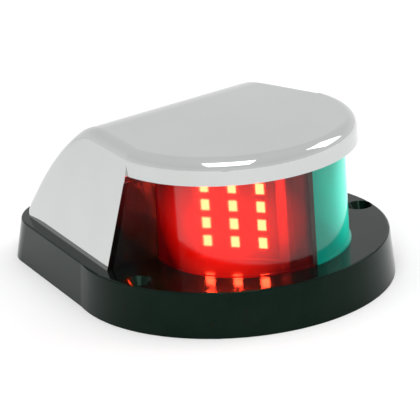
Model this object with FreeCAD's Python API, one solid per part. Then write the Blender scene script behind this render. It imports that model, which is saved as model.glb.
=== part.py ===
"""Deck-mount bi-colour navigation light: a black moulded base, a chromed visor cover, a red and a green
lens over two LED boards, and the driver electronics under the cover's tail.

Units are millimetres. +Z is up from the deck, the lenses face -Y, the tail points to +Y, and the origin is
at the middle of the footprint on the deck face. Places along Y inside the light are measured from the
centre of the base's round part, which lies at DISC_Y.
"""

import FreeCAD, Part

import math
import os

from FreeCAD import Vector

# ---- overall sizes ----
BASE_RADIUS = 44.0  # round part of the base, at the deck
BASE_LENGTH = 109.0  # bow edge to tail end, at the deck
BASE_HEIGHT = 12.2
TOTAL_HEIGHT = 45.1
DISC_Y = BASE_RADIUS - BASE_LENGTH / 2
TAIL_END = BASE_LENGTH - BASE_RADIUS

# ---- base moulding ----
BASE_DRAFT = math.radians(5.0)
TAIL_TAPER = math.radians(10.7)  # each side, widening towards the round part
TAIL_INSET = 0.24  # the tail's sides run this much inside a tangent to the round part
TAIL_CORNER = 13.0  # at the deck
CORNER_GROWTH = 0.45  # the corner's radius grows by this much per unit of height
WAIST_RADIUS = 18.0
BASE_EDGE_FILLET = 0.5
BASE_WALL = 4.2
BASE_PLATE = 3.2
RIB_THICKNESS = 1.6
RIB_CLEARANCE = 5.0  # rib feet stay this far above the deck
RIB_X = 9.0
CROSS_RIBS_Y = (-18.0, 4.0, 30.0)

# ---- deck fixing ----
HOLE_SPACING = 76.2
HOLE_Y = -9.4
HOLE_RADIUS = 2.2
SINK_RADIUS = 3.6  # countersink mouth
SINK_DEPTH = 2.2
BOSS_RADIUS = 5.4
GASKET_INSET = 0.8
GASKET_WIDTH = 1.4
GASKET_DEPTH = 1.2

# ---- cover ----
COVER_WALL = 1.5
PANEL_FOOT = 39.85  # from the visor's axis to each side panel, at the base's top
PANEL_LEAN = math.radians(12.2)
PANEL_FILLET = 3.5
VISOR_Y = -2.2
VISOR_RADIUS = 34.3  # at the rim
VISOR_DEPTH = 6.8  # rim height below the top
VISOR_LEAN = math.radians(2.0)
VISOR_FILLET = 3.2
CREASE_Y = -2.5  # the side panels end here and the round visor begins
COVER_REAR = 57.2  # rear foot of the cover
TOP_FLAT_END = 17.7  # where the flat top turns down into the tail
BROW_RADIUS = 22.0
BROW_ANGLE = math.radians(30.3)
BACK_RADIUS = 78.0
BACK_ANGLE = math.radians(53.0)
REAR_FOOT = math.radians(84.0)
HEEL_RADIUS = 7.0
WINDOW_FOOT_Y = 2.6
WINDOW_LEAN = math.radians(11.0)
WINDOW_CORNER = 3.0
POST_RADIUS = 3.4
POSTS = [(17.0, 45.0), (27.0, 13.0)]
SEAL_WIDTH = 0.9
SEAL_HEIGHT = 0.8
LOCATING_LIP = 1.2

# ---- lenses ----
LENS_Y = -9.3
LENS_RADIUS = 26.0
LENS_WALL = 2.2
LENS_LIP = 0.5  # foot flange, width and height
LENS_SEAT = 1.6
LENS_TOP_SEAL = 1.4
SEAM_WIDTH = 1.4

# ---- bulkhead behind the lenses ----
BULKHEAD_WALL = 2.2
BULKHEAD_SETBACK = 0.3  # behind the cover's window edge
BULKHEAD_LENS_Y = 0.5  # front face where the lenses end, at the foot
BULKHEAD_LENS_LEAN = math.radians(3.3)
BULKHEAD_FOOT = (14.0, 6.5)
FOOT_WIDTH = 8.0
FOOT_HEIGHT = 2.4
FOOT_END_Y = 9.5
WIRE_PORT = 1.8
WIRE_PORT_Y = -4.0  # ahead of the wall where the leads pass
SLIDE_GAP = 0.25  # between pieces that slide together on assembly

# ---- LED boards, one for each 112.5 degree sector ----
SECTOR_AIM = math.radians(56.25)
BOARD_DISTANCE = 13.2  # lens axis to the board's front face
BOARD_WIDTH = 22.0
BOARD_HEIGHT = 24.5
BOARD_THICKNESS = 1.0
BOARD_MARGIN = 0.4  # board beyond its screws' heads
LED_COLUMNS = 3
LED_ROWS = 4
LED_PITCH_ACROSS = 7.5
LED_PITCH_UP = 5.0
LED_WIDTH = 2.8
LED_HEIGHT = 3.5
LED_THICKNESS = 0.8
LED_RIM = 0.3
LED_WELL = 0.35
LED_LIFT = 13.0  # middle of the LED array above the base's top

# ---- LED carrier ----
CARRIER_WALL = 2.0
CARRIER_NOSE = -27.5
CARRIER_SCREW = (5.5, -9.0)
SCREEN_THICKNESS = 1.0

# ---- driver electronics ----
DRIVER_Y = 26.0
DRIVER_WIDTH = 30.0
DRIVER_LENGTH = 26.0
DRIVER_THICKNESS = 1.6
STANDOFF_HEIGHT = 5.0
STANDOFF_RADIUS = 2.6
STANDOFF_INSET = 3.2
TERMINAL = (-4.5, 34.8)
TERMINAL_PITCH = 5.0
TERMINAL_LENGTH = 7.0
TERMINAL_HEIGHT = 8.5
TERMINAL_SCREW = 1.7
TERMINAL_ENTRY = 1.5
INDUCTOR = (-6.5, 26.0)
INDUCTOR_RADIUS = 4.5
INDUCTOR_HEIGHT = 5.0
INDUCTOR_FLANGE = 1.0
CAPACITORS = [(8.0, 24.5), (8.0, 33.0)]
CAPACITOR_RADIUS = 3.15
CAPACITOR_HEIGHT = 8.0
CHIPS = [(0.5, 19.0, 5.0, 4.0), (1.4, 26.0, 4.0, 4.0)]  # X, Y, width, length
CHIP_HEIGHT = 1.5
RESISTORS = 6
RESISTOR_PITCH = 3.0
RESISTOR_SIZE = (2.0, 1.25, 0.55)
RESISTOR_Y = 14.2
DIODE = (6.0, 16.6)
DIODE_SIZE = (4.3, 2.6, 2.0)
WIRE_RADIUS = 0.55
WIRE_BEND = 1.5
WIRE_STANDOFF = 2.2
WIRE_DROPS = [(10.9, 13.2), (8.4, 10.6)]  # height above the LED middle, X where it lands
WIRE_LAND_Y = 21.0
WIRE_TURN_Y = 9.0

# ---- cable outlet ----
OUTLET_Y = 46.0
GROMMET_BORE = 2.6
GROMMET_NECK = 4.2
GROMMET_FLANGE = 6.2
GROMMET_FLANGE_HEIGHT = 1.4

# ---- fasteners ----
THREAD_GAP = 0.05
INSERT_RADIUS = 2.3
INSERT_LENGTH = 5.0
COVER_SCREW = (1.5, 2.8, 1.8, 12.0)  # shank radius, head radius, head height, shank length
SMALL_SCREW = (0.9, 1.6, 1.0, 4.2)
RECESS_WIDTH = 0.28  # share of the head's radius, half width of the cross
RECESS_REACH = 0.62
RECESS_DEPTH = 0.55

X = Vector(1, 0, 0)
Z = Vector(0, 0, 1)
CEILING = TOTAL_HEIGHT - COVER_WALL
VISOR_RIM = TOTAL_HEIGHT - VISOR_DEPTH
PLATE_UNDERSIDE = BASE_HEIGHT - BASE_PLATE
LENS_TOP = CEILING - LENS_TOP_SEAL
LED_MIDDLE = BASE_HEIGHT + LED_LIFT
DRIVER_TOP = BASE_HEIGHT + STANDOFF_HEIGHT + DRIVER_THICKNESS
FAR = 2 * BASE_LENGTH


# ---- shared shape helpers ----
def at(x, y, z=0.0):
    """A point whose Y is measured from the disc centre."""
    return Vector(x, DISC_Y + y, z)


def box(x0, x1, y0, y1, z0, z1):
    return Part.makeBox(x1 - x0, y1 - y0, z1 - z0, at(x0, y0, z0))


def block(centre, size, z0, height):
    """A box standing on z0, centred on a point in plan."""
    return box(
        centre[0] - size[0] / 2,
        centre[0] + size[0] / 2,
        centre[1] - size[1] / 2,
        centre[1] + size[1] / 2,
        z0,
        z0 + height,
    )


def cylinder(x, y, z0, z1, radius):
    return Part.makeCylinder(radius, z1 - z0, at(x, y, z0), Z)


def tube(x, y, z0, z1, outer, inner):
    return cylinder(x, y, z0, z1, outer).cut(cylinder(x, y, z0, z1, inner))


def line(a, b):
    return Part.makeLine(a, b)


def arc(a, b, c):
    return Part.Arc(a, b, c).toShape()


def polygon(points):
    return Part.makePolygon([*points, points[0]])


def prism(points, sweep):
    return Part.Face(polygon(points)).extrude(sweep)


def joined(shapes):
    whole = shapes[0]
    if len(shapes) > 1:
        whole = whole.multiFuse(shapes[1:])
    return whole.removeSplitter()


def mirrored(shape):
    return shape.mirror(Vector(0, 0, 0), X)


def both_sides(shapes):
    return [*shapes, *[mirrored(s) for s in shapes]]


def unit(angle):
    """Plan direction at an angle from +X towards +Y."""
    return Vector(math.cos(angle), math.sin(angle), 0)


def tail_directions():
    """Across and along the tail's right-hand side, in plan."""
    return unit(TAIL_TAPER), unit(TAIL_TAPER + math.pi / 2)


def save(name, shapes):
    solids = [s for shape in shapes for s in shape.Solids]
    for solid in solids:
        if not solid.isValid() or solid.Volume <= 0:
            raise ValueError(name + " has a bad solid")
    whole = solids[0] if len(solids) == 1 else Part.makeCompound(solids)
    whole.exportStep("parts/" + name + ".step")
    bounds = whole.BoundBox
    print(f"{name}: {len(solids)} solids, z {bounds.ZMin:.2f} to {bounds.ZMax:.2f}")


def screw(head_under, axis, size):
    """A cross-recess pan-head screw. The axis points from the head's underside towards the tip."""
    shank, head, head_height, length = size
    body = Part.makeCylinder(shank, length, head_under, axis)
    cap = Part.makeCylinder(head, head_height, head_under, axis * -1)
    top = head_under - axis * head_height
    side = axis.cross(Z if abs(axis.z) < 0.5 else X).normalize()
    other = axis.cross(side)
    whole = body.fuse(cap)
    for along, across in ((side, other), (other, side)):
        reach = along * (head * RECESS_REACH)
        half = across * (head * RECESS_WIDTH)
        corners = [top - reach - half, top + reach - half, top + reach + half, top - reach + half]
        whole = whole.cut(prism(corners, axis * (head_height * RECESS_DEPTH)))
    return whole.removeSplitter()


# ---- base ----
def base_outline(inset, z):
    """The base's plan at a height, drawn in evenly by inset, as one closed wire of lines and arcs."""
    outward, back = tail_directions()
    side = BASE_RADIUS - TAIL_INSET
    reach = math.sqrt((BASE_RADIUS + WAIST_RADIUS) ** 2 - (side + WAIST_RADIUS) ** 2)
    waist = outward * (side + WAIST_RADIUS) + back * reach
    waist_on_disc = waist * ((BASE_RADIUS - inset) / waist.Length)
    waist_on_side = waist - outward * (WAIST_RADIUS + inset)
    mean = (waist_on_disc + waist_on_side) * 0.5 - waist
    waist_middle = waist + mean * ((WAIST_RADIUS + inset) / mean.Length)
    grown = TAIL_CORNER + CORNER_GROWTH * z
    depth = side - grown
    along = (TAIL_END - grown - depth * outward.y) / back.y
    corner = outward * depth + back * along
    rounding = grown - inset
    corner_on_side = corner + outward * rounding
    corner_middle = corner + unit((TAIL_TAPER + math.pi / 2) / 2) * rounding
    corner_on_end = corner + Vector(0, rounding, 0)

    def place(point, side_sign=1):
        return at(side_sign * point.x, point.y, z)

    nose = at(0, inset - BASE_RADIUS, z)
    edges = [arc(place(waist_on_disc, -1), nose, place(waist_on_disc))]
    edges.append(arc(place(waist_on_disc), place(waist_middle), place(waist_on_side)))
    edges.append(line(place(waist_on_side), place(corner_on_side)))
    edges.append(arc(place(corner_on_side), place(corner_middle), place(corner_on_end)))
    edges.append(line(place(corner_on_end), place(corner_on_end, -1)))
    edges.append(arc(place(corner_on_end, -1), place(corner_middle, -1), place(corner_on_side, -1)))
    edges.append(line(place(corner_on_side, -1), place(waist_on_side, -1)))
    edges.append(arc(place(waist_on_side, -1), place(waist_middle, -1), place(waist_on_disc, -1)))
    return Part.Wire(edges)


def base_solid(inset, z0, z1, draft):
    """A solid on the base's plan, closing in with height by the draft."""
    low = base_outline(inset + z0 * math.tan(draft), z0)
    high = base_outline(inset + z1 * math.tan(draft), z1)
    return Part.makeLoft([low, high], True, True)


def gasket_ring():
    outer = base_solid(GASKET_INSET, 0, GASKET_DEPTH, 0)
    inner = base_solid(GASKET_INSET + GASKET_WIDTH, 0, GASKET_DEPTH, 0)
    return outer.cut(inner)


def cover_ring(inset, width, z0, z1):
    """A rib on the cover's foot line, open at the front where the lenses stand."""
    outer = tail_solid(inset, z0, z1, 0, 0)
    inner = tail_solid(inset + width, z0, z1, 0, 0)
    window = window_prism(SLIDE_GAP)
    return outer.cut(inner).cut(window)


def base_ribs():
    ribs = []
    z0 = RIB_CLEARANCE
    for x in (-RIB_X, RIB_X):
        ribs.append(box(x - RIB_THICKNESS / 2, x + RIB_THICKNESS / 2, -FAR, FAR, z0, PLATE_UNDERSIDE))
    for y in CROSS_RIBS_Y:
        ribs.append(box(-FAR, FAR, y - RIB_THICKNESS / 2, y + RIB_THICKNESS / 2, z0, PLATE_UNDERSIDE))
    inside = base_solid(BASE_WALL / 2, 0, PLATE_UNDERSIDE, BASE_DRAFT)
    return [rib.common(inside) for rib in ribs]


def driver_corners():
    x = DRIVER_WIDTH / 2 - STANDOFF_INSET
    y = DRIVER_LENGTH / 2 - STANDOFF_INSET
    return [(sx * x, DRIVER_Y + sy * y) for sx in (-1, 1) for sy in (-1, 1)]


def make_base_housing():
    outer = base_solid(0, 0, BASE_HEIGHT, BASE_DRAFT)
    rim = [e for e in outer.Edges if e.BoundBox.ZMin > BASE_HEIGHT - 0.01]
    outer = outer.makeFillet(BASE_EDGE_FILLET, rim)
    hollow = base_solid(BASE_WALL, 0, PLATE_UNDERSIDE, BASE_DRAFT)
    shell = outer.cut(hollow)
    bosses = []
    for x in (-HOLE_SPACING / 2, HOLE_SPACING / 2):
        boss = cylinder(x, HOLE_Y, 0, PLATE_UNDERSIDE + BASE_PLATE / 2, BOSS_RADIUS)
        bosses.append(boss.common(base_solid(BASE_WALL / 2, 0, BASE_HEIGHT, BASE_DRAFT)))
    standoffs = [
        cylinder(x, y, BASE_HEIGHT - BASE_PLATE / 2, BASE_HEIGHT + STANDOFF_HEIGHT, STANDOFF_RADIUS)
        for x, y in driver_corners()
    ]
    lip_inset = COVER_WALL + SLIDE_GAP
    lip = cover_ring(lip_inset, LOCATING_LIP, BASE_HEIGHT, BASE_HEIGHT + LOCATING_LIP)
    lip = lip.common(cover_inside(SLIDE_GAP))
    grommet_boss = cylinder(0, OUTLET_Y, PLATE_UNDERSIDE, BASE_HEIGHT, GROMMET_FLANGE)
    whole = joined([shell, *bosses, *base_ribs(), *standoffs, lip, grommet_boss])
    return whole.cut(Part.makeCompound(base_cuts())).removeSplitter()


def base_cuts():
    cuts = [gasket_ring(), seal_ring(), lens_seat()]
    for x in (-HOLE_SPACING / 2, HOLE_SPACING / 2):
        cuts.append(cylinder(x, HOLE_Y, 0, BASE_HEIGHT, HOLE_RADIUS))
        foot = at(x, HOLE_Y, BASE_HEIGHT - SINK_DEPTH)
        cuts.append(Part.makeCone(HOLE_RADIUS, SINK_RADIUS, SINK_DEPTH, foot, Z))
    shank, head = COVER_SCREW[:2]
    for x, y in POSTS:
        through = cylinder(x, y, PLATE_UNDERSIDE, BASE_HEIGHT, shank + THREAD_GAP)
        room = cylinder(x, y, 0, PLATE_UNDERSIDE, head + SLIDE_GAP)
        cuts.extend(both_sides([through, room]))
    pilot = SMALL_SCREW[0] + THREAD_GAP
    depth = SMALL_SCREW[3] + SLIDE_GAP
    for x, y in driver_corners():
        top = BASE_HEIGHT + STANDOFF_HEIGHT
        cuts.append(cylinder(x, y, top + DRIVER_THICKNESS - depth, top, pilot))
    for place, height in ((BULKHEAD_FOOT, FOOT_HEIGHT), (CARRIER_SCREW, CARRIER_WALL)):
        z0 = BASE_HEIGHT + height - depth
        cuts.extend(both_sides([cylinder(place[0], place[1], z0, BASE_HEIGHT, pilot)]))
    cuts.append(cylinder(0, OUTLET_Y, PLATE_UNDERSIDE, BASE_HEIGHT, GROMMET_NECK))
    return cuts


def make_outlet_grommet():
    under = PLATE_UNDERSIDE - GROMMET_FLANGE_HEIGHT
    over = BASE_HEIGHT + GROMMET_FLANGE_HEIGHT
    parts = [
        cylinder(0, OUTLET_Y, under, PLATE_UNDERSIDE, GROMMET_FLANGE),
        cylinder(0, OUTLET_Y, PLATE_UNDERSIDE, BASE_HEIGHT, GROMMET_NECK),
        cylinder(0, OUTLET_Y, BASE_HEIGHT, over, GROMMET_FLANGE),
    ]
    return joined(parts).cut(cylinder(0, OUTLET_Y, under, over, GROMMET_BORE))


# ---- cover ----
def panel_outline(inset, z):
    """The tail's plan between its side panels, from the crease back past the rear."""
    outward, back = tail_directions()
    side = Vector(0, VISOR_Y, 0) + outward * (PANEL_FOOT - inset)
    front = side + back * ((CREASE_Y - side.y) / back.y)
    end = side + back * BASE_LENGTH
    corners = [(-front.x, front.y), (front.x, front.y), (end.x, end.y), (-end.x, end.y)]
    return polygon([at(x, y, z) for x, y in corners])


def rear_profile(inset, foot_z):
    """The cover's side view: flat top, a brow and a long shallow arc down the tail, and a rounded heel."""
    top = TOTAL_HEIGHT - inset
    brow_centre = Vector(0, TOP_FLAT_END, TOTAL_HEIGHT - BROW_RADIUS)
    inward = Vector(0, -math.sin(BROW_ANGLE), -math.cos(BROW_ANGLE))
    back_centre = brow_centre + inward * (BACK_RADIUS - BROW_RADIUS)

    def on_arc(centre, radius, angle):
        return at(0, centre.y + radius * math.sin(angle), centre.z + radius * math.cos(angle))

    turn = at(0, TOP_FLAT_END, top)
    brow_middle = on_arc(brow_centre, BROW_RADIUS - inset, BROW_ANGLE / 2)
    brow_end = on_arc(brow_centre, BROW_RADIUS - inset, BROW_ANGLE)
    back_middle = on_arc(back_centre, BACK_RADIUS - inset, (BROW_ANGLE + BACK_ANGLE) / 2)
    back_end = on_arc(back_centre, BACK_RADIUS - inset, BACK_ANGLE)
    slope = Vector(0, math.cos(BACK_ANGLE), -math.sin(BACK_ANGLE))
    drop = Vector(0, math.cos(REAR_FOOT), -math.sin(REAR_FOOT))
    foot = at(0, COVER_REAR, BASE_HEIGHT) - Vector(0, math.sin(REAR_FOOT), math.cos(REAR_FOOT)) * inset
    gap = foot - back_end
    along = (gap.y * drop.z - gap.z * drop.y) / (slope.y * drop.z - slope.z * drop.y)
    heel = back_end + slope * along
    half_turn = (REAR_FOOT - BACK_ANGLE) / 2
    radius = HEEL_RADIUS - inset
    heel_in = heel - slope * (radius * math.tan(half_turn))
    heel_out = heel + drop * (radius * math.tan(half_turn))
    heel_middle = heel + (drop - slope).normalize() * (radius / math.cos(half_turn) - radius)
    end = foot + drop * ((foot.z - foot_z) / math.sin(REAR_FOOT))
    front_low = Vector(0, -FAR, foot_z)
    front_high = Vector(0, -FAR, top)
    edges = [line(front_low, front_high), line(front_high, turn), arc(turn, brow_middle, brow_end)]
    edges.extend([arc(brow_end, back_middle, back_end), line(back_end, heel_in)])
    edges.extend([arc(heel_in, heel_middle, heel_out), line(heel_out, end), line(end, front_low)])
    face = Part.Face(Part.Wire(edges))
    face.translate(X * -FAR)
    return face.extrude(X * (2 * FAR))


def tail_solid(inset, z0, z1, lean, fillet):
    """The cover's tail drawn in by inset, between two heights. Its fillets run out past the foot."""
    foot = z0 - 2 * PANEL_FILLET
    low = panel_outline(inset + (foot - BASE_HEIGHT) * math.tan(lean), foot)
    high = panel_outline(inset + (z1 - BASE_HEIGHT) * math.tan(lean), z1)
    body = Part.makeLoft([low, high], True, True).common(rear_profile(inset, foot))
    if fillet:
        front = at(0, CREASE_Y).y
        edges = []
        for edge in body.Edges:
            bounds = edge.BoundBox
            at_foot = bounds.ZMax < foot + 0.01
            across = bounds.YLength < 0.01
            if not (at_foot or across or bounds.YMax < front + 0.01):
                edges.append(edge)
        body = body.makeFillet(fillet, edges)
    return body.common(box(-FAR, FAR, -FAR, FAR, z0, z1))


def visor_solid(inset, z0):
    """The round visor drawn in by inset, from z0 up, as far back as the crease."""
    top = TOTAL_HEIGHT - inset
    fillet = VISOR_FILLET - inset
    shrink = math.tan(VISOR_LEAN)

    def side(z):
        return VISOR_RADIUS - inset - (z - VISOR_RIM) * shrink

    turn = (math.pi / 2 - VISOR_LEAN) / 2
    reach = fillet * math.tan(turn)
    side_end = (side(top) + reach * math.sin(VISOR_LEAN), top - reach * math.cos(VISOR_LEAN))
    top_start = (side(top) - reach, top)
    centre = (top_start[0], top - fillet)
    angle = (VISOR_LEAN + math.pi / 2) / 2
    middle = (centre[0] + fillet * math.cos(angle), centre[1] + fillet * math.sin(angle))

    def place(point):
        return at(point[0], VISOR_Y, point[1])

    edges = [line(place((0, z0)), place((side(z0), z0))), line(place((side(z0), z0)), place(side_end))]
    edges.append(arc(place(side_end), place(middle), place(top_start)))
    edges.append(line(place(top_start), place((0, top))))
    edges.append(line(place((0, top)), place((0, z0))))
    whole = Part.Face(Part.Wire(edges)).revolve(at(0, VISOR_Y, 0), Z, 360)
    return whole.common(box(-FAR, FAR, -FAR, CREASE_Y, 0, FAR))


def window_prism(gap):
    """The opening for the lenses, ahead of the side panels and below the visor's rim."""
    z0 = 0
    y0 = WINDOW_FOOT_Y + gap + (BASE_HEIGHT - z0) * math.tan(WINDOW_LEAN)
    y1 = WINDOW_FOOT_Y + gap - (VISOR_RIM - BASE_HEIGHT) * math.tan(WINDOW_LEAN)
    points = [Vector(-FAR, -FAR, z0), Vector(-FAR, -FAR, VISOR_RIM)]
    points.extend([at(-FAR, y1, VISOR_RIM), at(-FAR, y0, z0)])
    whole = prism(points, X * (2 * FAR))
    corner = [
        e
        for e in whole.Edges
        if e.BoundBox.XLength > FAR and e.BoundBox.ZMin > VISOR_RIM - 0.01 and e.BoundBox.YMin > -FAR / 2
    ]
    return whole.makeFillet(WINDOW_CORNER, corner)


def cover_outside():
    tail = tail_solid(0, BASE_HEIGHT, TOTAL_HEIGHT, PANEL_LEAN, PANEL_FILLET)
    return joined([tail, visor_solid(0, VISOR_RIM)])


def cover_inside(gap):
    inset = COVER_WALL + gap
    tail = tail_solid(inset, BASE_HEIGHT, TOTAL_HEIGHT - inset, PANEL_LEAN, PANEL_FILLET - inset)
    return joined([tail, visor_solid(inset, BASE_HEIGHT)])


def make_visor_cover():
    outside = cover_outside()
    lens_groove = lens_ring(VISOR_RIM, CEILING, THREAD_GAP, THREAD_GAP)
    shell = outside.cut(cover_inside(0)).cut(window_prism(0)).cut(lens_groove)
    posts = [cylinder(x, y, BASE_HEIGHT, TOTAL_HEIGHT, POST_RADIUS).common(outside) for x, y in POSTS]
    drills = []
    shank, length = COVER_SCREW[0], COVER_SCREW[3]
    for x, y in POSTS:
        drills.append(cylinder(x, y, BASE_HEIGHT, BASE_HEIGHT + INSERT_LENGTH, INSERT_RADIUS))
        tip = PLATE_UNDERSIDE + length + SLIDE_GAP
        drills.append(cylinder(x, y, BASE_HEIGHT, tip, shank + THREAD_GAP))
    whole = shell.multiFuse(both_sides(posts))
    return whole.cut(Part.makeCompound(both_sides(drills)))


def seal_ring():
    inset = (COVER_WALL - SEAL_WIDTH) / 2
    return cover_ring(inset, SEAL_WIDTH, BASE_HEIGHT - SEAL_HEIGHT, BASE_HEIGHT)


def make_cover_inserts():
    shank = COVER_SCREW[0] + THREAD_GAP
    sleeves = [tube(x, y, BASE_HEIGHT, BASE_HEIGHT + INSERT_LENGTH, INSERT_RADIUS, shank) for x, y in POSTS]
    return both_sides(sleeves)


def make_cover_screws():
    return both_sides([screw(at(x, y, PLATE_UNDERSIDE), Z, COVER_SCREW) for x, y in POSTS])


# ---- lenses ----
def lens_ring(z0, z1, grow, shrink):
    """The lens wall's full ring, grown outside and inside by the two gaps."""
    outer = LENS_RADIUS + grow
    return tube(0, LENS_Y, z0, z1, outer, LENS_RADIUS - LENS_WALL - shrink)


def behind_lenses(gap):
    """Everything behind the bulkhead's front face, less a gap."""
    low, high = bulkhead_front(0, gap), bulkhead_front(CEILING, gap)
    for points, z in ((low, 0), (high, CEILING)):
        points.append(at(FAR, FAR, z))
        points.append(at(-FAR, FAR, z))
    return Part.makeLoft([polygon(low), polygon(high)], True, True)


def lens_seat():
    ring = lens_ring(BASE_HEIGHT - LENS_SEAT, BASE_HEIGHT, THREAD_GAP, THREAD_GAP)
    return ring.cut(behind_lenses(0))


def seam_strip(z0, z1, gap):
    half = SEAM_WIDTH / 2 + gap
    return box(-half, half, -FAR, LENS_Y, z0, z1)


def make_green_lens():
    wall = lens_ring(BASE_HEIGHT - LENS_SEAT + SEAL_HEIGHT, LENS_TOP, 0, 0)
    lip = lens_ring(BASE_HEIGHT, BASE_HEIGHT + LENS_LIP, LENS_LIP, 0)
    whole = wall.fuse(lip).cut(behind_lenses(SLIDE_GAP)).cut(box(-FAR, 0, -FAR, FAR, 0, TOTAL_HEIGHT))
    return whole.cut(seam_strip(0, TOTAL_HEIGHT, 0)).removeSplitter()


def make_lens_divider():
    ring = lens_ring(BASE_HEIGHT - LENS_SEAT + SEAL_HEIGHT, LENS_TOP, 0, 0)
    return ring.common(seam_strip(0, TOTAL_HEIGHT, 0))


def make_lens_foot_seal():
    ring = lens_ring(BASE_HEIGHT - LENS_SEAT, BASE_HEIGHT - LENS_SEAT + SEAL_HEIGHT, 0, 0)
    return ring.cut(behind_lenses(SLIDE_GAP))


def make_lens_top_seal():
    return lens_ring(LENS_TOP, CEILING, 0, 0).cut(behind_lenses(SLIDE_GAP))


# ---- bulkhead ----
def bulkhead_front(z, gap):
    """Front line of the bulkhead in plan at a height, from the left end to the right end."""
    lens_x = LENS_RADIUS
    side_x = BASE_RADIUS
    rise = z - BASE_HEIGHT
    lens_y = BULKHEAD_LENS_Y - gap - rise * math.tan(BULKHEAD_LENS_LEAN)
    side_y = WINDOW_FOOT_Y + BULKHEAD_SETBACK - gap - rise * math.tan(WINDOW_LEAN)
    return [at(-side_x, side_y, z), at(-lens_x, lens_y, z), at(lens_x, lens_y, z), at(side_x, side_y, z)]


def make_bulkhead():
    rings = []
    for z in (BASE_HEIGHT, CEILING):
        back = bulkhead_front(z, -BULKHEAD_WALL)
        rings.append(polygon([*bulkhead_front(z, 0), *reversed(back)]))
    wall = Part.makeLoft(rings, True, True)
    wall = wall.common(cover_inside(SLIDE_GAP))
    x, y = BULKHEAD_FOOT
    reach = BULKHEAD_LENS_Y + BULKHEAD_WALL / 2
    half = FOOT_WIDTH / 2
    foot = box(x - half, x + half, reach, FOOT_END_Y, BASE_HEIGHT, BASE_HEIGHT + FOOT_HEIGHT)
    whole = joined([wall, *both_sides([foot])])
    hole = cylinder(x, y, BASE_HEIGHT, BASE_HEIGHT + FOOT_HEIGHT, SMALL_SCREW[0] + THREAD_GAP)
    ports = [hole]
    for height, _ in WIRE_DROPS:
        start = wire_start(height)
        mouth = Vector(start.x, at(0, WIRE_PORT_Y).y, start.z)
        ports.append(Part.makeCylinder(WIRE_PORT, WIRE_TURN_Y - WIRE_PORT_Y, mouth, Vector(0, 1, 0)))
    lip_top = BASE_HEIGHT + LOCATING_LIP + SLIDE_GAP
    corner_lip = cover_ring(COVER_WALL, LOCATING_LIP + 2 * SLIDE_GAP, 0, lip_top)
    return whole.cut(Part.makeCompound([*both_sides(ports), corner_lip])).removeSplitter()


def make_bulkhead_screws():
    x, y = BULKHEAD_FOOT
    return both_sides([screw(at(x, y, BASE_HEIGHT + FOOT_HEIGHT), Z * -1, SMALL_SCREW)])


# ---- LED boards and carrier ----
def aim():
    """Unit vector the right-hand board faces along."""
    return Vector(math.sin(SECTOR_AIM), -math.cos(SECTOR_AIM), 0)


def across():
    """Unit vector along the right-hand board, towards the tail."""
    return Vector(math.cos(SECTOR_AIM), math.sin(SECTOR_AIM), 0)


def on_board(u, out, z):
    """A point on the right-hand board: u along it, out from its front face."""
    return at(0, LENS_Y, z) + aim() * (BOARD_DISTANCE + out) + across() * u


def board_block(u, width, out, depth, z, height):
    """A box on the right-hand board, centred on u and z."""
    corners = [
        on_board(u - width / 2, out, z - height / 2),
        on_board(u + width / 2, out, z - height / 2),
        on_board(u + width / 2, out + depth, z - height / 2),
        on_board(u - width / 2, out + depth, z - height / 2),
    ]
    return prism(corners, Z * height)


def led_places():
    places = []
    for column in range(LED_COLUMNS):
        for row in range(LED_ROWS):
            u = (column - (LED_COLUMNS - 1) / 2) * LED_PITCH_ACROSS
            z = LED_MIDDLE + (row - (LED_ROWS - 1) / 2) * LED_PITCH_UP
            places.append((u, z))
    return places


def board_screw_places():
    z = LED_MIDDLE + BOARD_HEIGHT / 2 - SMALL_SCREW[1] - BOARD_MARGIN
    return [(-LED_PITCH_ACROSS / 2, z), (LED_PITCH_ACROSS / 2, z)]


def board_drills():
    radius = SMALL_SCREW[0] + THREAD_GAP
    depth = SMALL_SCREW[3] + SLIDE_GAP
    return [Part.makeCylinder(radius, depth, on_board(u, 0, z), aim() * -1) for u, z in board_screw_places()]


def make_green_board():
    board = board_block(0, BOARD_WIDTH, -BOARD_THICKNESS, BOARD_THICKNESS, LED_MIDDLE, BOARD_HEIGHT)
    return board.cut(Part.makeCompound(board_drills()))


def make_green_packages():
    packages = []
    for u, z in led_places():
        body = board_block(u, LED_WIDTH, 0, LED_THICKNESS, z, LED_HEIGHT)
        packages.append(body.cut(led_window(u, z)))
    return packages


def led_window(u, z):
    width = LED_WIDTH - 2 * LED_RIM
    height = LED_HEIGHT - 2 * LED_RIM
    return board_block(u, width, LED_THICKNESS - LED_WELL, LED_WELL, z, height)


def make_green_windows():
    return [led_window(u, z) for u, z in led_places()]


def make_board_screws():
    screws = [screw(on_board(u, 0, z), aim() * -1, SMALL_SCREW) for u, z in board_screw_places()]
    return both_sides(screws)


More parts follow.
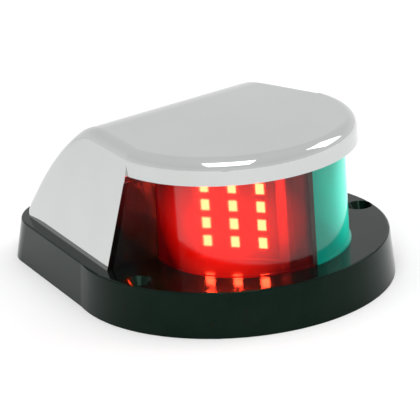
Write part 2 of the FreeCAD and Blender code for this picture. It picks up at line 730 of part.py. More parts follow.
def make_led_carrier():
    face = BOARD_DISTANCE - BOARD_THICKNESS
    rear = BOARD_WIDTH / 2
    outline = []
    for distance in (face, face - CARRIER_WALL):
        nose_y = CARRIER_NOSE if distance == face else CARRIER_NOSE + CARRIER_WALL
        u = (nose_y - LENS_Y + distance * math.cos(SECTOR_AIM)) / math.sin(SECTOR_AIM)
        ends = [on_board(u, distance - BOARD_DISTANCE, BASE_HEIGHT)]
        ends.append(on_board(rear, distance - BOARD_DISTANCE, BASE_HEIGHT))
        outline.append(ends)
    (nose, tail), (inner_nose, inner_tail) = outline

    def flipped(point):
        return Vector(-point.x, point.y, point.z)

    height = Z * (BOARD_HEIGHT + LED_MIDDLE - BOARD_HEIGHT / 2 - BASE_HEIGHT)
    right = [nose, tail, inner_tail, inner_nose]
    left = [flipped(p) for p in reversed(right)]
    vee = prism([*right, *left], height)
    plate = prism([inner_nose, inner_tail, flipped(inner_tail), flipped(inner_nose)], Z * CARRIER_WALL)
    whole = joined([vee, plate])
    hole = cylinder(*CARRIER_SCREW, BASE_HEIGHT, BASE_HEIGHT + CARRIER_WALL, SMALL_SCREW[0] + THREAD_GAP)
    return whole.cut(Part.makeCompound(both_sides([hole, *board_drills()]))).removeSplitter()


def make_carrier_screws():
    x, y = CARRIER_SCREW
    return both_sides([screw(at(x, y, BASE_HEIGHT + CARRIER_WALL), Z * -1, SMALL_SCREW)])


def make_light_screen():
    front = LENS_Y - LENS_RADIUS + LENS_WALL + THREAD_GAP
    half = SCREEN_THICKNESS / 2
    return box(-half, half, front, CARRIER_NOSE, BASE_HEIGHT, LENS_TOP)


# ---- driver electronics ----
def make_driver_board():
    z0 = BASE_HEIGHT + STANDOFF_HEIGHT
    board = block((0, DRIVER_Y), (DRIVER_WIDTH, DRIVER_LENGTH), z0, DRIVER_THICKNESS)
    holes = [cylinder(x, y, z0, DRIVER_TOP, SMALL_SCREW[0] + THREAD_GAP) for x, y in driver_corners()]
    return board.cut(Part.makeCompound(holes))


def make_driver_screws():
    return [screw(at(x, y, DRIVER_TOP), Z * -1, SMALL_SCREW) for x, y in driver_corners()]


def make_inductor_core():
    x, y = INDUCTOR
    top = DRIVER_TOP + INDUCTOR_HEIGHT
    parts = [
        cylinder(x, y, DRIVER_TOP, DRIVER_TOP + INDUCTOR_FLANGE, INDUCTOR_RADIUS),
        cylinder(x, y, DRIVER_TOP, top, INDUCTOR_RADIUS / 2),
        cylinder(x, y, top - INDUCTOR_FLANGE, top, INDUCTOR_RADIUS),
    ]
    return joined(parts)


def make_inductor_winding():
    z0 = DRIVER_TOP + INDUCTOR_FLANGE
    z1 = DRIVER_TOP + INDUCTOR_HEIGHT - INDUCTOR_FLANGE
    return tube(*INDUCTOR, z0, z1, INDUCTOR_RADIUS - SLIDE_GAP, INDUCTOR_RADIUS / 2)


def make_capacitors():
    cans = []
    for x, y in CAPACITORS:
        can = cylinder(x, y, DRIVER_TOP, DRIVER_TOP + CAPACITOR_HEIGHT, CAPACITOR_RADIUS)
        cans.append(can.makeFillet(SLIDE_GAP, can.Edges))
    return cans


def make_regulator_chips():
    return [block((x, y), (width, length), DRIVER_TOP, CHIP_HEIGHT) for x, y, width, length in CHIPS]


def make_chip_resistors():
    width, length, height = RESISTOR_SIZE
    first = -RESISTOR_PITCH * (RESISTORS - 1) / 2
    places = [(first + RESISTOR_PITCH * i, RESISTOR_Y) for i in range(RESISTORS)]
    return [block(place, (width, length), DRIVER_TOP, height) for place in places]


def make_protection_diode():
    return block(DIODE, DIODE_SIZE[:2], DRIVER_TOP, DIODE_SIZE[2])


def terminal_poles():
    x, y = TERMINAL
    return [(x - TERMINAL_PITCH / 2, y), (x + TERMINAL_PITCH / 2, y)]


def make_terminal_block():
    body = block(TERMINAL, (2 * TERMINAL_PITCH, TERMINAL_LENGTH), DRIVER_TOP, TERMINAL_HEIGHT)
    top = DRIVER_TOP + TERMINAL_HEIGHT
    cuts = []
    for x, y in terminal_poles():
        cuts.append(cylinder(x, y, top - TERMINAL_HEIGHT / 2, top, TERMINAL_SCREW + THREAD_GAP))
        mouth = at(x, y + TERMINAL_LENGTH / 2, DRIVER_TOP + TERMINAL_HEIGHT / 4)
        cuts.append(Part.makeCylinder(TERMINAL_ENTRY, TERMINAL_LENGTH / 2, mouth, Vector(0, -1, 0)))
    return body.cut(Part.makeCompound(cuts))


def make_terminal_screws():
    top = DRIVER_TOP + TERMINAL_HEIGHT
    screws = []
    for x, y in terminal_poles():
        body = cylinder(x, y, top - TERMINAL_HEIGHT / 2, top - SLIDE_GAP, TERMINAL_SCREW)
        slot = block((x, y), (2 * TERMINAL_SCREW, 2 * RECESS_WIDTH), top - 2 * RECESS_DEPTH, 2 * RECESS_DEPTH)
        screws.append(body.cut(slot))
    return screws


# ---- wiring ----
def wire_start(height):
    """Where a lead leaves the right-hand LED board's face, before it turns aft."""
    return on_board(BOARD_WIDTH / 2 - 2 * WIRE_RADIUS, WIRE_STANDOFF, LED_MIDDLE + height)


def lead(points):
    """A round lead through the points, with a tangent arc at each bend."""
    edges = []
    last = points[0]
    for before, corner, after in zip(points, points[1:], points[2:]):
        enter = (before - corner).normalize()
        leave = (after - corner).normalize()
        half = enter.getAngle(leave) / 2
        reach = WIRE_BEND / math.tan(half)
        start = corner + enter * reach
        end = corner + leave * reach
        middle_way = (enter + leave).normalize()
        middle = corner + middle_way * (WIRE_BEND / math.sin(half) - WIRE_BEND)
        edges.append(line(last, start))
        edges.append(arc(start, middle, end))
        last = end
    edges.append(line(last, points[-1]))
    path = Part.Wire(edges)
    circle = Part.Circle(points[0], (points[1] - points[0]).normalize(), WIRE_RADIUS)
    ring = Part.Wire([circle.toShape()])
    return path.makePipeShell([ring], True, True)


def make_leads(drop):
    height, land = drop
    turn = wire_start(height)
    start = turn - aim() * WIRE_STANDOFF
    z = turn.z
    aft = Vector(turn.x, at(0, WIRE_TURN_Y).y, z)
    over = at(land, WIRE_LAND_Y, z)
    run = lead([start, turn, aft, over, at(land, WIRE_LAND_Y, DRIVER_TOP)])
    return both_sides([run])


def main():
    os.makedirs("parts", exist_ok=True)
    green_board = make_green_board()
    green_packages = make_green_packages()
    green_windows = make_green_windows()
    green_lens = make_green_lens()
    save("base_housing", [make_base_housing()])
    save("deck_gasket", [gasket_ring()])
    save("outlet_grommet", [make_outlet_grommet()])
    save("cover_seal", [seal_ring()])
    save("visor_cover", [make_visor_cover()])
    save("cover_inserts", make_cover_inserts())
    save("cover_screws", make_cover_screws())
    save("green_lens", [green_lens])
    save("red_lens", [mirrored(green_lens)])
    save("lens_divider", [make_lens_divider()])
    save("lens_foot_seal", [make_lens_foot_seal()])
    save("lens_top_seal", [make_lens_top_seal()])
    save("bulkhead", [make_bulkhead()])
    save("bulkhead_screws", make_bulkhead_screws())
    save("light_screen", [make_light_screen()])
    save("led_carrier", [make_led_carrier()])
    save("carrier_screws", make_carrier_screws())
    save("green_led_board", [green_board])
    save("red_led_board", [mirrored(green_board)])
    save("green_led_packages", green_packages)
    save("red_led_packages", [mirrored(p) for p in green_packages])
    save("green_led_windows", green_windows)
    save("red_led_windows", [mirrored(w) for w in green_windows])
    save("led_board_screws", make_board_screws())
    save("driver_board", [make_driver_board()])
    save("driver_screws", make_driver_screws())
    save("inductor_core", [make_inductor_core()])
    save("inductor_winding", [make_inductor_winding()])
    save("capacitors", make_capacitors())
    save("regulator_chips", make_regulator_chips())
    save("chip_resistors", make_chip_resistors())
    save("protection_diode", [make_protection_diode()])
    save("terminal_block", [make_terminal_block()])
    save("terminal_screws", make_terminal_screws())
    save("supply_leads", make_leads(WIRE_DROPS[0]))
    save("return_leads", make_leads(WIRE_DROPS[1]))


main()
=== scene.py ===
"""Looks for the deck-mount navigation light: studio, camera, materials and fine detail on the CAD frame.

Metres, in the part's own frame: +Z up from the deck, the lenses face -Y, the green lens is on +X.
"""

import math

import bmesh
import bpy
from mathutils import Matrix, Vector


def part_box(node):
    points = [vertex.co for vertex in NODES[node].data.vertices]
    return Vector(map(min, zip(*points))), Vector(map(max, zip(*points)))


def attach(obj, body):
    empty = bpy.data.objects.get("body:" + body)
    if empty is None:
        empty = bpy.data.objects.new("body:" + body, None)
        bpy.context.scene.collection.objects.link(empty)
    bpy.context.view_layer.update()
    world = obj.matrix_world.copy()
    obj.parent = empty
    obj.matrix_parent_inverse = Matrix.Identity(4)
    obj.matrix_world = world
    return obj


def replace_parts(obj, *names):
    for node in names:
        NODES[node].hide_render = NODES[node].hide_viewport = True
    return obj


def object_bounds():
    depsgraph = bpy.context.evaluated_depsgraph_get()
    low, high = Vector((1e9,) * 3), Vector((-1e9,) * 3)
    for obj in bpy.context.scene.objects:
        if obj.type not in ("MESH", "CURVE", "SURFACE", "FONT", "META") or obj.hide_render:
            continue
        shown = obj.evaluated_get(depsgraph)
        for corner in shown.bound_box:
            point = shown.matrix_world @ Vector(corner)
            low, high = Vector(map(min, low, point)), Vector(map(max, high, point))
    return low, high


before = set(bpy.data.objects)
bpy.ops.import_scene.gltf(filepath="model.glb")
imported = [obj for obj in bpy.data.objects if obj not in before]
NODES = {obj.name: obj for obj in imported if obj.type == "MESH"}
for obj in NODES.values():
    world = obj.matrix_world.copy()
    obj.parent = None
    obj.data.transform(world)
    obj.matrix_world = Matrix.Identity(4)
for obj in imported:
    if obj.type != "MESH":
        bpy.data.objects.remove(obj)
cad_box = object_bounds()
MM = 0.001

# ---- camera, as a long lens set on the light from its red side ----
CAMERA_AZIMUTH = math.radians(-36.44)
CAMERA_ELEVATION = math.radians(19.67)
CAMERA_ROLL = math.radians(-4.26)
CAMERA_DISTANCE = 0.60045
CAMERA_AIM = Vector((-1.32, -3.37, 17.6)) * MM
CAMERA_LENS = 188.5
SENSOR = 36.0
CLIP_NEAR = 0.01
CLIP_FAR = 50.0

# ---- every finish ----
BROAD_GRAIN = 12  # colour varies over patches this many times wider than the relief's grain

# ---- cover ----
VISOR_DEPTH = 0.0068
VISOR_RIM = cad_box[1][2] - VISOR_DEPTH  # the window's cut edges all lie below this height
RIM_FADE = 0.0002
EDGE_FACING = (-0.90, -0.94)  # a surface this squarely on to the bow is a cut edge, not a curved side
# colour given to the window's cut edges, which are also left unmetallic
CUT_EDGE_DARK = (0.004, 0.004, 0.004)

# ---- lit lenses, with glow painted into the acrylic ----
LED_TURN = math.radians(56.25)  # each LED board faces this far from the bow
GLOW_REACH = (0.020, 0.060, 0.019)  # reach of the painted glow across the board, out from it, and up
GLOW_CORE = 0.55  # how far in from the painted glow's edge it reaches its full colour
GLOW_LOW = 0.9  # the dimmest streak of painted glow in the acrylic, as a share of the brightest
ACRYLIC_IOR = 1.49
ACRYLIC_SPECULAR = 0.12
ACRYLIC_ROUGHNESS = (0.11, 0.14)

# ---- fine detail ----
DISC_SIDES = 24
RING_AROUND = 48
RING_ACROSS = 10
COIL_WIRE = 0.00025
PIN_PITCH = 0.00095
PIN_WIDE = 0.0004
PIN_THICK = 0.0002
PIN_REACH = 0.0009
PIN_RISE = 0.0006
CAP_SKIN = 0.00002
CAP_REACH = 0.0004
VENT_WIDE = 0.0001
VENT_SHARE = 0.6  # the pressed cross reaches out to this share of the can's radius
BUNG_BEAD = 0.00025
TRACE_COUNT = 9
TRACE_INSET = 0.006
TRACE_WIDE = 0.0004
TRACE_HIGH = 0.00004
TRACE_MARGIN = 3 * TRACE_WIDE
TRACE_JOG = 4 * TRACE_WIDE
WIRE_RADIUS = 0.00055
SOLDER_RADIUS = 0.0011
SOLDER_HEIGHT = 0.0008
GROMMET_BEAD = 0.0002
GROMMET_BEADS_AT = (0.62, 0.85)  # shares of the flange's radius

# ---- studio ----
FLOOR_SIZE = 6.0
FLOOR_GAP = 0.00005
FLOOR_COLOUR = (0.97, 0.97, 0.97)
SKY = ((0.0, 0.95), (0.45, 0.85), (1.0, 0.9))  # (height from the horizon to overhead, brightness)


# ---- helpers ----
def new_material(name):
    material = bpy.data.materials.new(name)
    material.use_nodes = True
    nodes = material.node_tree.nodes
    nodes.clear()
    shader = nodes.new("ShaderNodeBsdfPrincipled")
    output = nodes.new("ShaderNodeOutputMaterial")
    material.node_tree.links.new(shader.outputs["BSDF"], output.inputs["Surface"])
    return material, shader


def noise(material, scale, detail=3.0, stretch=(1, 1, 1)):
    """Noise over the piece's own coordinates; scale is features per metre."""
    tree = material.node_tree
    coordinates = tree.nodes.new("ShaderNodeTexCoord")
    mapping = tree.nodes.new("ShaderNodeMapping")
    mapping.inputs["Scale"].default_value = stretch
    texture = tree.nodes.new("ShaderNodeTexNoise")
    texture.inputs["Scale"].default_value = scale
    texture.inputs["Detail"].default_value = detail
    tree.links.new(coordinates.outputs["Object"], mapping.inputs["Vector"])
    tree.links.new(mapping.outputs["Vector"], texture.inputs["Vector"])
    return texture.outputs["Fac"]


def spread(material, source, low, high, start=0.35, end=0.65):
    """A value from low to high as the source goes from start to end."""
    tree = material.node_tree
    node = tree.nodes.new("ShaderNodeMapRange")
    node.inputs["From Min"].default_value = start
    node.inputs["From Max"].default_value = end
    node.inputs["To Min"].default_value = low
    node.inputs["To Max"].default_value = high
    tree.links.new(source, node.inputs["Value"])
    return node.outputs["Result"]


def tint(material, source, dark, light, start=0.35, end=0.65):
    """A colour between two, by the source."""
    tree = material.node_tree
    ramp = tree.nodes.new("ShaderNodeValToRGB")
    ramp.color_ramp.elements[0].position = start
    ramp.color_ramp.elements[0].color = (*dark, 1)
    ramp.color_ramp.elements[1].position = end
    ramp.color_ramp.elements[1].color = (*light, 1)
    tree.links.new(source, ramp.inputs["Fac"])
    return ramp.outputs["Color"]


def dimmed(colour, share):
    return tuple(channel * share for channel in colour)


def bump(material, shader, source, depth, strength=1.0):
    tree = material.node_tree
    node = tree.nodes.new("ShaderNodeBump")
    node.inputs["Strength"].default_value = strength
    node.inputs["Distance"].default_value = depth
    tree.links.new(source, node.inputs["Height"])
    tree.links.new(node.outputs["Normal"], shader.inputs["Normal"])


def surface(
    name, dark, light, roughness, grain, depth, metallic=0.0, stretch=(1, 1, 1), spec=0.5, sheen=(1, 1, 1)
):
    """A finish with colour, roughness and relief that all vary over a grain of so many per metre."""
    material, shader = new_material(name)
    tree = material.node_tree
    fine = noise(material, grain, stretch=stretch)
    broad = noise(material, grain / BROAD_GRAIN, detail=2.0)
    tree.links.new(tint(material, broad, dark, light), shader.inputs["Base Color"])
    tree.links.new(spread(material, fine, *roughness), shader.inputs["Roughness"])
    shader.inputs["Metallic"].default_value = metallic
    shader.inputs["Specular IOR Level"].default_value = spec
    shader.inputs["Specular Tint"].default_value = (*sheen, 1)
    bump(material, shader, fine, depth)
    return material


def dress(material, *names):
    """Give the named CAD nodes one finish, and pass the finish on."""
    for name in names:
        mesh = NODES[name].data
        mesh.materials.clear()
        mesh.materials.append(material)
    return material


# ---- finishes of their own kind ----
def glowing(name, colour, strength):
    """A lit phosphor window, with a slightly uneven grain."""
    material, shader = new_material(name)
    tree = material.node_tree
    colours = tint(material, noise(material, scale=6000), dimmed(colour, share=0.8), colour)
    tree.links.new(colours, shader.inputs["Emission Color"])
    tree.links.new(colours, shader.inputs["Base Color"])
    shader.inputs["Emission Strength"].default_value = strength
    shader.inputs["Roughness"].default_value = 0.4
    return material


def painted_glow_field(material, windows):
    """The strength of a painted glow: highest over the middle of the lit windows and falling away on all
    sides.
    """
    tree = material.node_tree
    low, high = (Vector(corner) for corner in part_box(windows))
    middle = (low + high) / 2
    coordinates = tree.nodes.new("ShaderNodeTexCoord")
    mapping = tree.nodes.new("ShaderNodeMapping")
    mapping.vector_type = "TEXTURE"
    mapping.inputs["Location"].default_value = middle
    mapping.inputs["Rotation"].default_value = (0, 0, math.copysign(LED_TURN, middle.x))
    mapping.inputs["Scale"].default_value = GLOW_REACH
    sphere = tree.nodes.new("ShaderNodeTexGradient")
    sphere.gradient_type = "SPHERICAL"
    tree.links.new(coordinates.outputs["Object"], mapping.inputs["Vector"])
    tree.links.new(mapping.outputs["Vector"], sphere.inputs["Vector"])
    return sphere.outputs["Fac"]


def lens_with_painted_glow(name, colour, windows, glow, strength):
    """Tinted acrylic with glow painted in as emission, strongest round its lit LEDs and weaker away from
    them, in place of their light scattered in the acrylic.
    """
    material, shader = new_material(name)
    tree = material.node_tree
    flow = noise(material, scale=220, detail=2.0, stretch=(1, 1, 0.25))
    fine = noise(material, scale=5000)
    shader.inputs["Base Color"].default_value = (*colour, 1)
    shader.inputs["Transmission Weight"].default_value = 1.0
    shader.inputs["IOR"].default_value = ACRYLIC_IOR
    shader.inputs["Specular IOR Level"].default_value = ACRYLIC_SPECULAR
    tree.links.new(spread(material, fine, *ACRYLIC_ROUGHNESS), shader.inputs["Roughness"])
    # painted glow: emission colour and streaky strength laid on the acrylic, though it is no lamp
    edge, core = glow
    colours = tint(material, painted_glow_field(material, windows), edge, core, 0.0, GLOW_CORE)
    level = spread(material, flow, strength * GLOW_LOW, strength)
    tree.links.new(colours, shader.inputs["Emission Color"])
    tree.links.new(level, shader.inputs["Emission Strength"])
    bump(material, shader, flow, depth=0.00002, strength=0.3)
    return material


def cut_edges(material):
    """One on the window's cut edges, which face the bow squarely below the visor's rim, and else nought."""
    tree = material.node_tree
    geometry = tree.nodes.new("ShaderNodeNewGeometry")
    facing = tree.nodes.new("ShaderNodeSeparateXYZ")
    place = tree.nodes.new("ShaderNodeSeparateXYZ")
    tree.links.new(geometry.outputs["Normal"], facing.inputs["Vector"])
    tree.links.new(geometry.outputs["Position"], place.inputs["Vector"])
    forward = spread(material, facing.outputs["Y"], 0, 1, *EDGE_FACING)
    below = spread(material, place.outputs["Z"], 0, 1, VISOR_RIM, VISOR_RIM - RIM_FADE)
    both = tree.nodes.new("ShaderNodeMath")
    both.operation = "MULTIPLY"
    tree.links.new(forward, both.inputs[0])
    tree.links.new(below, both.inputs[1])
    return both.outputs["Value"]


def chrome():
    """Bright plating, with the window's cut edges near-black and unmetallic."""
    material, shader = new_material("mirror_chrome")
    tree = material.node_tree
    ripple = noise(material, scale=45, detail=2.0)
    haze = noise(material, scale=60, detail=2.0)
    plated = tint(material, haze, dark=(0.555, 0.570, 0.562), light=(0.57, 0.585, 0.577))
    edge = cut_edges(material)
    masked = tree.nodes.new("ShaderNodeMix")
    masked.data_type = "RGBA"
    # near-black on the window's cut edges
    masked.inputs["B"].default_value = (*CUT_EDGE_DARK, 1)
    tree.links.new(edge, masked.inputs["Factor"])
    tree.links.new(plated, masked.inputs["A"])
    tree.links.new(masked.outputs["Result"], shader.inputs["Base Color"])
    tree.links.new(spread(material, edge, low=1, high=0, start=0, end=1), shader.inputs["Metallic"])
    tree.links.new(spread(material, haze, low=0.045, high=0.06), shader.inputs["Roughness"])
    bump(material, shader, ripple, depth=0.00010, strength=0.15)
    return material


# ---- what each node wears ----
def dress_mouldings():
    gloss = surface(
        "black_gloss_moulding", dark=(0.0015, 0.0028, 0.0022), light=(0.003, 0.005, 0.004),
        roughness=(0.08, 0.14), grain=1500, depth=3e-6, spec=0.14, sheen=(0.45, 1.0, 0.72)
    )
    inner = surface(
        "black_inner_moulding", dark=(0.006, 0.006, 0.006), light=(0.012, 0.011, 0.011),
        roughness=(0.10, 0.2), grain=1500, depth=5e-6
    )
    screen = surface(
        "matt_black_screen", dark=(0.012, 0.012, 0.012), light=(0.03, 0.03, 0.03),
        roughness=(0.6, 0.8), grain=2500, depth=1e-5
    )
    divider = surface(
        "matt_divider", dark=(0.02, 0.012, 0.01), light=(0.035, 0.02, 0.016),
        roughness=(0.3, 0.5), grain=2500, depth=1e-5
    )
    dress(gloss, "base_housing")
    dress(chrome(), "visor_cover")
    dress(inner, "bulkhead")
    dress(screen, "light_screen")
    dress(divider, "lens_divider")


def dress_rubbers():
    rubber = surface(
        "black_rubber", dark=(0.018, 0.018, 0.018), light=(0.032, 0.032, 0.031),
        roughness=(0.6, 0.85), grain=3000, depth=3e-5, spec=0.3
    )
    seal = surface(
        "grey_seal_rubber", dark=(0.04, 0.04, 0.042), light=(0.07, 0.07, 0.07),
        roughness=(0.6, 0.85), grain=2500, depth=3e-5, spec=0.3
    )
    dress(rubber, "deck_gasket", "outlet_grommet")
    dress(seal, "cover_seal", "lens_foot_seal", "lens_top_seal")
    return rubber, seal


def dress_metals():
    steel = surface(
        "stainless_screw", dark=(0.50, 0.50, 0.49), light=(0.66, 0.66, 0.65),
        roughness=(0.18, 0.34), grain=2500, depth=1e-5, metallic=1
    )
    brass = surface(
        "turned_brass", dark=(0.62, 0.44, 0.17), light=(0.80, 0.60, 0.27),
        roughness=(0.2, 0.35), grain=3000, depth=1e-5, metallic=1
    )
    brushed = surface(
        "brushed_aluminium", dark=(0.55, 0.56, 0.57), light=(0.72, 0.73, 0.74),
        roughness=(0.28, 0.45), grain=1500, depth=1e-5, metallic=1, stretch=(1, 1, 12)
    )
    dress(steel, "cover_screws", "bulkhead_screws", "carrier_screws")
    dress(steel, "led_board_screws", "driver_screws", "terminal_screws")
    dress(brass, "cover_inserts")
    dress(brushed, "led_carrier")
    return steel


def dress_driver():
    """The driver board, what stands on it and its leads."""
    board = surface(
        "green_solder_mask", dark=(0.006, 0.07, 0.026), light=(0.012, 0.12, 0.045),
        roughness=(0.25, 0.4), grain=1800, depth=8e-6
    )
    ferrite = surface(
        "ferrite", dark=(0.02, 0.02, 0.021), light=(0.05, 0.05, 0.052),
        roughness=(0.5, 0.75), grain=3500, depth=2e-5
    )
    copper = surface(
        "enamelled_copper", dark=(0.45, 0.16, 0.05), light=(0.66, 0.28, 0.10),
        roughness=(0.2, 0.35), grain=900, depth=1.2e-4, metallic=1, stretch=(0, 0, 4)
    )
    can = surface(
        "capacitor_sleeve", dark=(0.50, 0.51, 0.53), light=(0.64, 0.65, 0.67),
        roughness=(0.2, 0.35), grain=1500, depth=8e-6, metallic=1
    )
    chip = surface(
        "moulded_epoxy", dark=(0.014, 0.014, 0.014), light=(0.03, 0.03, 0.03),
        roughness=(0.5, 0.7), grain=5000, depth=1e-5
    )
    nylon = surface(
        "green_nylon", dark=(0.01, 0.15, 0.06), light=(0.02, 0.24, 0.10),
        roughness=(0.35, 0.5), grain=2500, depth=8e-6
    )
    red = surface(
        "red_insulation", dark=(0.40, 0.012, 0.012), light=(0.55, 0.02, 0.018),
        roughness=(0.3, 0.45), grain=2500, depth=1e-5
    )
    black = surface(
        "black_insulation", dark=(0.012, 0.012, 0.012), light=(0.025, 0.025, 0.025),
        roughness=(0.3, 0.45), grain=2500, depth=1e-5
    )
    dress(board, "driver_board")
    dress(ferrite, "inductor_core")
    dress(copper, "inductor_winding")
    dress(can, "capacitors")
    dress(chip, "regulator_chips", "chip_resistors", "protection_diode")
    dress(nylon, "terminal_block")
    dress(red, "supply_leads")
    dress(black, "return_leads")
    return board, copper, can


def dress_lights():
    """The LED boards with their lit windows, and the two lenses over them with glow painted into them."""
    board = surface(
        "dark_solder_mask", dark=(0.03, 0.03, 0.03), light=(0.05, 0.05, 0.05),
        roughness=(0.3, 0.45), grain=1800, depth=6e-6
    )
    resin = surface(
        "led_package_resin", dark=(0.20, 0.19, 0.17), light=(0.28, 0.27, 0.25),
        roughness=(0.35, 0.5), grain=4000, depth=4e-6
    )
    dress(board, "red_led_board", "green_led_board")
    dress(resin, "red_led_packages", "green_led_packages")
    dress(glowing("lit_red_led", (1.0, 0.85, 0.7), strength=320.0), "red_led_windows")
    dress(glowing("lit_green_led", (0.5, 1.0, 0.7), strength=1.5), "green_led_windows")
    # painted glow of each lens, at its edge and at its core, given as emission on the acrylic
    red_painted_glow = ((0.05, 0.0, 0.001), (1.0, 0.006, 0.001))
    green_painted_glow = ((0.0, 0.20, 0.15), (0.0, 0.50, 0.38))
    red = lens_with_painted_glow("red_acrylic_painted_glow", (0.84, 0.040, 0.018), "red_led_windows", red_painted_glow, strength=0.5)
    green = lens_with_painted_glow("green_acrylic_painted_glow", (0.0, 0.26, 0.21), "green_led_windows", green_painted_glow, strength=0.6)
    dress(red, "red_lens")
    dress(green, "green_lens")


# ---- fine detail ----
def solids_of(node):
    """(lowest corner, highest corner) of each separate solid in a CAD node, in a steady order."""
    build = bmesh.new()
    build.from_mesh(NODES[node].data)
    bmesh.ops.transform(build, matrix=NODES[node].matrix_world, verts=build.verts)
    bmesh.ops.remove_doubles(build, verts=build.verts, dist=1e-6)
    left = set(build.verts)
    boxes = []
    for first in build.verts:
        if first not in left:
            continue
        left.discard(first)
        queue = [first]
        points = []
        while queue:
            vert = queue.pop()
            points.append(vert.co.copy())
            for edge in vert.link_edges:
                other = edge.other_vert(vert)
                if other in left:
                    left.discard(other)
                    queue.append(other)
        low = Vector([min(point[axis] for point in points) for axis in range(3)])
        high = Vector([max(point[axis] for point in points) for axis in range(3)])
        boxes.append((low, high))
    build.free()
    return sorted(boxes, key=lambda pair: tuple(round(value, 5) for value in (*pair[0], *pair[1])))


def add_box(build, low, high):
    size = Vector(high) - Vector(low)
    made = bmesh.ops.create_cube(build, size=1)
    for vert in made["verts"]:
        vert.co = Vector(low) + Vector([size[axis] * (vert.co[axis] + 0.5) for axis in range(3)])


def add_disc(build, centre, radius, height, top_radius=None):
    """An upright cylinder or cone standing on a point."""
    top = radius if top_radius is None else top_radius
    place = Matrix.Translation(Vector(centre) + Vector((0, 0, height / 2)))
    bmesh.ops.create_cone(
        build, cap_ends=True, segments=DISC_SIDES, radius1=radius, radius2=top, depth=height, matrix=place
    )


def add_ring(build, centre, radius, thickness):
    """A round bead lying level."""
    loops = []
    for step in range(RING_AROUND):
        around = 2 * math.pi * step / RING_AROUND
        loop = []
        for side in range(RING_ACROSS):
            across = 2 * math.pi * side / RING_ACROSS
            reach = radius + thickness * math.cos(across)
            point = Vector((reach * math.cos(around), reach * math.sin(around), thickness * math.sin(across)))
            loop.append(build.verts.new(Vector(centre) + point))
        loops.append(loop)
    for here, ahead in zip(loops, loops[1:] + loops[:1]):
        for side in range(RING_ACROSS):
            after = (side + 1) % RING_ACROSS
            build.faces.new((here[side], ahead[side], ahead[after], here[after]))


def piece(name, material, build, smooth=False):
    """A piece that rides on the light's one body, made from a filled bmesh."""
    mesh = bpy.data.meshes.new(name)
    bmesh.ops.recalc_face_normals(build, faces=build.faces)
    for face in build.faces:
        face.smooth = smooth
    build.to_mesh(mesh)
    build.free()
    made = bpy.data.objects.new(name, mesh)
    bpy.context.scene.collection.objects.link(made)
    made.data.materials.append(material)
    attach(made, "root")
    return made


def coil_turns(material):
    """The inductor's wire as stacked turns between its flanges."""
    low, high = (Vector(corner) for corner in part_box("inductor_winding"))
    middle = (low + high) / 2
    radius = (high.x - low.x) / 2 - COIL_WIRE
    build = bmesh.new()
    turns = int((high.z - low.z) / (2 * COIL_WIRE))
    for turn in range(turns):
        height = low.z + COIL_WIRE + turn * 2 * COIL_WIRE
        add_ring(build, (middle.x, middle.y, height), radius, COIL_WIRE)
    add_disc(build, (middle.x, middle.y, low.z), radius, high.z - low.z)
    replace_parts(piece("coil_turns", material, build, smooth=True), "inductor_winding")


def chip_leads(material):
    """Gull-wing pins down both long sides of each chip, and a tab at each end of the diode."""
    build = bmesh.new()
    half = PIN_WIDE / 2
    for low, high in solids_of("regulator_chips"):
        count = int((high.y - low.y) / PIN_PITCH)
        first = (low.y + high.y) / 2 - PIN_PITCH * (count - 1) / 2
        for side, sign in ((low.x, -1), (high.x, 1)):
            foot = sorted((side, side + sign * PIN_REACH))
            knee = sorted((side, side + sign * PIN_THICK))
            for number in range(count):
                y = first + number * PIN_PITCH
                add_box(build, (knee[0], y - half, low.z), (knee[1], y + half, low.z + PIN_RISE))
                add_box(build, (foot[0], y - half, low.z), (foot[1], y + half, low.z + PIN_THICK))
    low, high = (Vector(corner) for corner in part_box("protection_diode"))
    for side, sign in ((low.x, -1), (high.x, 1)):
        tab = sorted((side, side + sign * PIN_REACH))
        start = (tab[0], low.y + PIN_WIDE, low.z)
        add_box(build, start, (tab[1], high.y - PIN_WIDE, low.z + PIN_RISE))
    piece("chip_leads", material, build)


def resistor_caps(material):
    """Plated end caps wrapped just outside each chip resistor's ends."""
    build = bmesh.new()
    beside = Vector((0, CAP_SKIN, 0))
    over = Vector((0, 0, CAP_SKIN))
    for low, high in solids_of("chip_resistors"):
        for start, end in ((low.x - CAP_SKIN, low.x + CAP_REACH), (high.x - CAP_REACH, high.x + CAP_SKIN)):
            foot = Vector((start, low.y, low.z)) - beside
            add_box(build, foot, Vector((end, high.y, high.z)) + beside + over)
    piece("resistor_caps", material, build)


def capacitor_tops(can, rubber):
    """A pressed cross on each can's lid, and the bung's lip at its foot."""
    vents = bmesh.new()
    bungs = bmesh.new()
    for low, high in solids_of("capacitors"):
        middle = (low + high) / 2
        radius = (high.x - low.x) / 2
        reach = radius * VENT_SHARE
        for across, along in ((reach, VENT_WIDE), (VENT_WIDE, reach)):
            start = (middle.x - across, middle.y - along, high.z)
            add_box(vents, start, (middle.x + across, middle.y + along, high.z + VENT_WIDE / 2))
        add_ring(bungs, (middle.x, middle.y, low.z + BUNG_BEAD), radius, BUNG_BEAD)
    piece("capacitor_vents", can, vents)
    piece("capacitor_bungs", rubber, bungs, smooth=True)


def board_traces(material):
    """Raised copper runs under the driver board's mask, each with a jog to one side at its far end."""
    build = bmesh.new()
    low, high = (Vector(corner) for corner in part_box("driver_board"))
    for number in range(TRACE_COUNT):
        x = low.x + TRACE_INSET + (high.x - low.x - 2 * TRACE_INSET) * number / (TRACE_COUNT - 1)
        start = low.y + TRACE_MARGIN * (1 + number % 3)
        end = high.y - TRACE_MARGIN * (1 + (number + 1) % 4)
        add_box(build, (x, start, high.z), (x + TRACE_WIDE, end, high.z + TRACE_HIGH))
        left, right = sorted((x, x + (TRACE_JOG if number % 2 else -TRACE_JOG)))
        corner = (right + TRACE_WIDE, end + TRACE_WIDE, high.z + TRACE_HIGH)
        add_box(build, (left, end, high.z), corner)
    piece("board_traces", material, build)


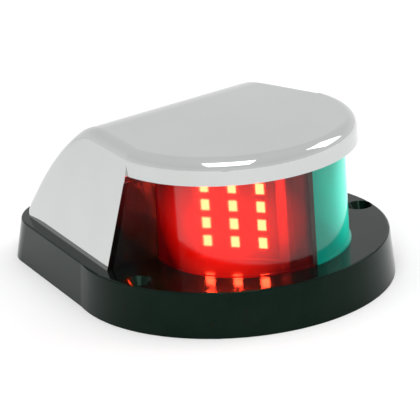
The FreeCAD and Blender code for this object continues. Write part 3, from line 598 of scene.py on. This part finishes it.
def lead_solder(material):
    """A solder cone round each wire where it lands on the driver board."""
    build = bmesh.new()
    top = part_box("driver_board")[1][2]
    for node in ("supply_leads", "return_leads"):
        for low, high in solids_of(node):
            inner = high.x if high.x < 0 else low.x
            x = inner + math.copysign(WIRE_RADIUS, inner)
            y = high.y - WIRE_RADIUS
            add_disc(build, (x, y, top), SOLDER_RADIUS, SOLDER_HEIGHT, WIRE_RADIUS)
    piece("lead_solder", material, build, smooth=True)


def grommet_beads(material):
    """Two raised rings round the grommet's flange, on its lower face."""
    build = bmesh.new()
    low, high = (Vector(corner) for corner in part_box("outlet_grommet"))
    centre = ((low.x + high.x) / 2, (low.y + high.y) / 2, low.z)
    for share in GROMMET_BEADS_AT:
        add_ring(build, centre, (high.x - low.x) / 2 * share, GROMMET_BEAD)
    piece("grommet_beads", material, build, smooth=True)


def dress_all():
    """Every node's finish, then the detail pieces in the same finishes."""
    dress_mouldings()
    rubber, seal = dress_rubbers()
    steel = dress_metals()
    board, copper, can = dress_driver()
    dress_lights()
    coil_turns(copper)
    chip_leads(steel)
    resistor_caps(steel)
    capacitor_tops(can, seal)
    board_traces(board)
    lead_solder(steel)
    grommet_beads(rubber)


# ---- studio ----
def make_camera():
    toward = Vector((math.sin(CAMERA_AZIMUTH), -math.cos(CAMERA_AZIMUTH), 0))
    level = Vector((math.cos(CAMERA_AZIMUTH), math.sin(CAMERA_AZIMUTH), 0))
    back = toward * math.cos(CAMERA_ELEVATION) + Vector((0, 0, math.sin(CAMERA_ELEVATION)))
    upward = back.cross(level)
    right = level * math.cos(CAMERA_ROLL) + upward * math.sin(CAMERA_ROLL)
    up = upward * math.cos(CAMERA_ROLL) - level * math.sin(CAMERA_ROLL)
    data = bpy.data.cameras.new("camera")
    data.sensor_width = SENSOR
    data.lens = CAMERA_LENS
    data.clip_start = CLIP_NEAR
    data.clip_end = CLIP_FAR
    camera = bpy.data.objects.new("camera", data)
    place = Matrix((right, up, back)).transposed().to_4x4()
    place.translation = CAMERA_AIM + back * CAMERA_DISTANCE
    camera.matrix_world = place
    bpy.context.scene.collection.objects.link(camera)
    bpy.context.scene.camera = camera


def area_light(name, place, aim, side, power):
    """A square soft light at a place, turned to an aim."""
    data = bpy.data.lights.new(name, "AREA")
    data.shape = "SQUARE"
    data.size = side
    data.energy = power
    light = bpy.data.objects.new(name, data)
    light.location = place
    light.rotation_euler = (Vector(aim) - Vector(place)).to_track_quat("-Z", "Y").to_euler()
    bpy.context.scene.collection.objects.link(light)


def make_floor():
    mesh = bpy.data.meshes.new("studio_floor")
    build = bmesh.new()
    bmesh.ops.create_grid(build, x_segments=1, y_segments=1, size=FLOOR_SIZE / 2)
    build.to_mesh(mesh)
    build.free()
    floor = bpy.data.objects.new("studio_floor", mesh)
    floor.location.z = cad_box[0][2] - FLOOR_GAP
    bpy.context.scene.collection.objects.link(floor)
    material, shader = new_material("studio_floor")
    colours = tint(material, noise(material, scale=30), dimmed(FLOOR_COLOUR, share=0.99), FLOOR_COLOUR)
    material.node_tree.links.new(colours, shader.inputs["Base Color"])
    shader.inputs["Roughness"].default_value = 0.8
    shader.inputs["Specular IOR Level"].default_value = 0.1
    floor.data.materials.append(material)


def make_world():
    """Soft white light from all round, a little dimmer half way up."""
    world = bpy.data.worlds.new("studio")
    bpy.context.scene.world = world
    world.use_nodes = True
    tree = world.node_tree
    tree.nodes.clear()
    coordinates = tree.nodes.new("ShaderNodeTexCoord")
    split = tree.nodes.new("ShaderNodeSeparateXYZ")
    ramp = tree.nodes.new("ShaderNodeValToRGB")
    elements = ramp.color_ramp.elements
    while len(elements) < len(SKY):
        elements.new(0.5)
    for element, (height, level) in zip(elements, SKY):
        element.position = height
        element.color = (level, level, level, 1)
    background = tree.nodes.new("ShaderNodeBackground")
    output = tree.nodes.new("ShaderNodeOutputWorld")
    tree.links.new(coordinates.outputs["Generated"], split.inputs["Vector"])
    tree.links.new(split.outputs["Z"], ramp.inputs["Fac"])
    tree.links.new(ramp.outputs["Color"], background.inputs["Color"])
    tree.links.new(background.outputs["Background"], output.inputs["Surface"])


def make_studio():
    make_world()
    make_floor()
    area_light("key", place=(-0.5, -0.6, 1.1), aim=(0, 0, 0), side=0.8, power=6.0)
    area_light("fill", place=(0.8, -0.3, 0.6), aim=(0, 0, 0.02), side=0.5, power=1.5)
    bpy.context.scene.view_settings.view_transform = "Standard"


make_camera()
make_studio()
dress_all()
